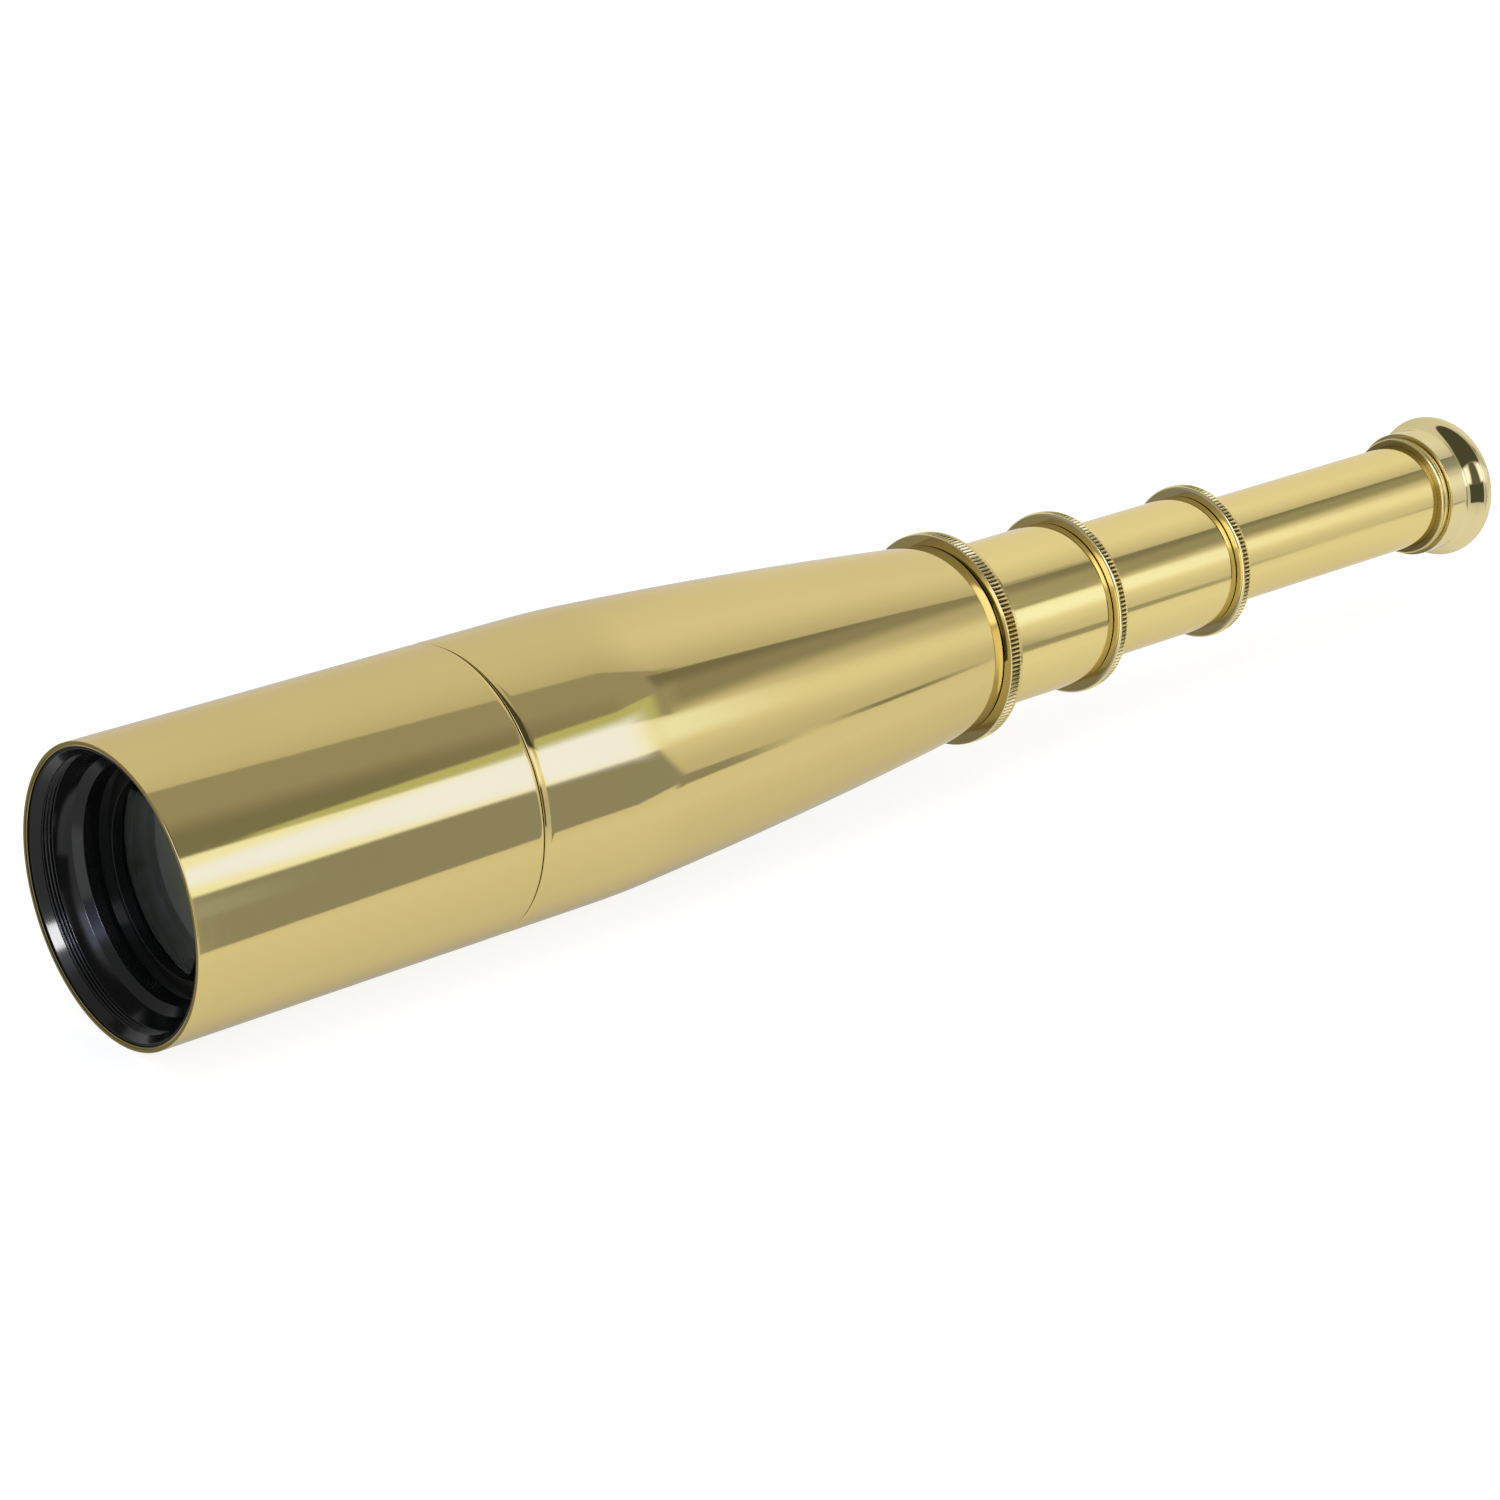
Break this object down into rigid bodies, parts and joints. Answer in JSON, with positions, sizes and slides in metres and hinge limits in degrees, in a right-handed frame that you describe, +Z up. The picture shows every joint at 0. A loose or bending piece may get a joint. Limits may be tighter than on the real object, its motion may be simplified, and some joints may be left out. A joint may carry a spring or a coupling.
{
  "type": "spyglass",
  "caption": "Hand-held brass refracting spyglass with a straight and tapered barrel, sliding draws with knurled collars, a black objective cell and a flared eyepiece cup.",
  "frame": {"origin": "centre of the objective rim, on the optical axis", "axes": "+X along the optical axis from the objective rim to the eyepiece, +Z up when the spyglass lies on a table"},
  "size_m": [0.3825, 0.06, 0.06],
  "materials": {
    "brass": "polished and lacquered",
    "pale_brass": "polished and lacquered",
    "dark_brass": "chemically darkened",
    "black_metal": "black anodised, satin",
    "lens_glass": "polished, single coated"
  },
  "bodies": {
    "barrel": {"objective_tube": "brass", "tapered_barrel": "brass", "coupling_sleeve": "dark_brass", "lens_cell": "black_metal", "retaining_ring": "black_metal", "objective_crown": "lens_glass", "lens_spacer": "dark_brass", "objective_flint": "lens_glass", "barrel_baffle": "black_metal", "barrel_end_ring": "brass", "barrel_collar": "brass", "barrel_guide": "dark_brass"},
    "first_draw": {"first_draw_tube": "brass", "first_draw_stop": "dark_brass", "first_end_ring": "brass", "first_collar": "brass", "first_guide": "dark_brass"},
    "second_draw": {"second_draw_tube": "brass", "second_draw_stop": "dark_brass", "second_end_ring": "brass", "second_collar": "brass", "second_guide": "dark_brass"},
    "eyepiece_draw": {"eyepiece_draw_tube": "brass", "eyepiece_draw_stop": "dark_brass", "erector_cell": "dark_brass", "erector_front_lens": "lens_glass", "erector_spacer": "black_metal", "erector_rear_lens": "lens_glass", "erector_ring": "black_metal", "eyepiece_cell": "dark_brass", "field_lens": "lens_glass", "eyepiece_spacer": "black_metal", "eye_lens": "lens_glass", "eye_lens_ring": "black_metal", "neck_ring": "brass", "eyepiece_cup": "pale_brass"}
  },
  "joints": [
    {"name": "first_draw_slide", "type": "slide", "parent": "barrel", "child": "first_draw", "axis": [1, 0, 0], "range_m": [-0.0328, 0]},
    {"name": "second_draw_slide", "type": "slide", "parent": "first_draw", "child": "second_draw", "axis": [1, 0, 0], "range_m": [-0.0404, 0]},
    {"name": "eyepiece_draw_slide", "type": "slide", "parent": "second_draw", "child": "eyepiece_draw", "axis": [1, 0, 0], "range_m": [-0.0719, 0]}
  ]
}
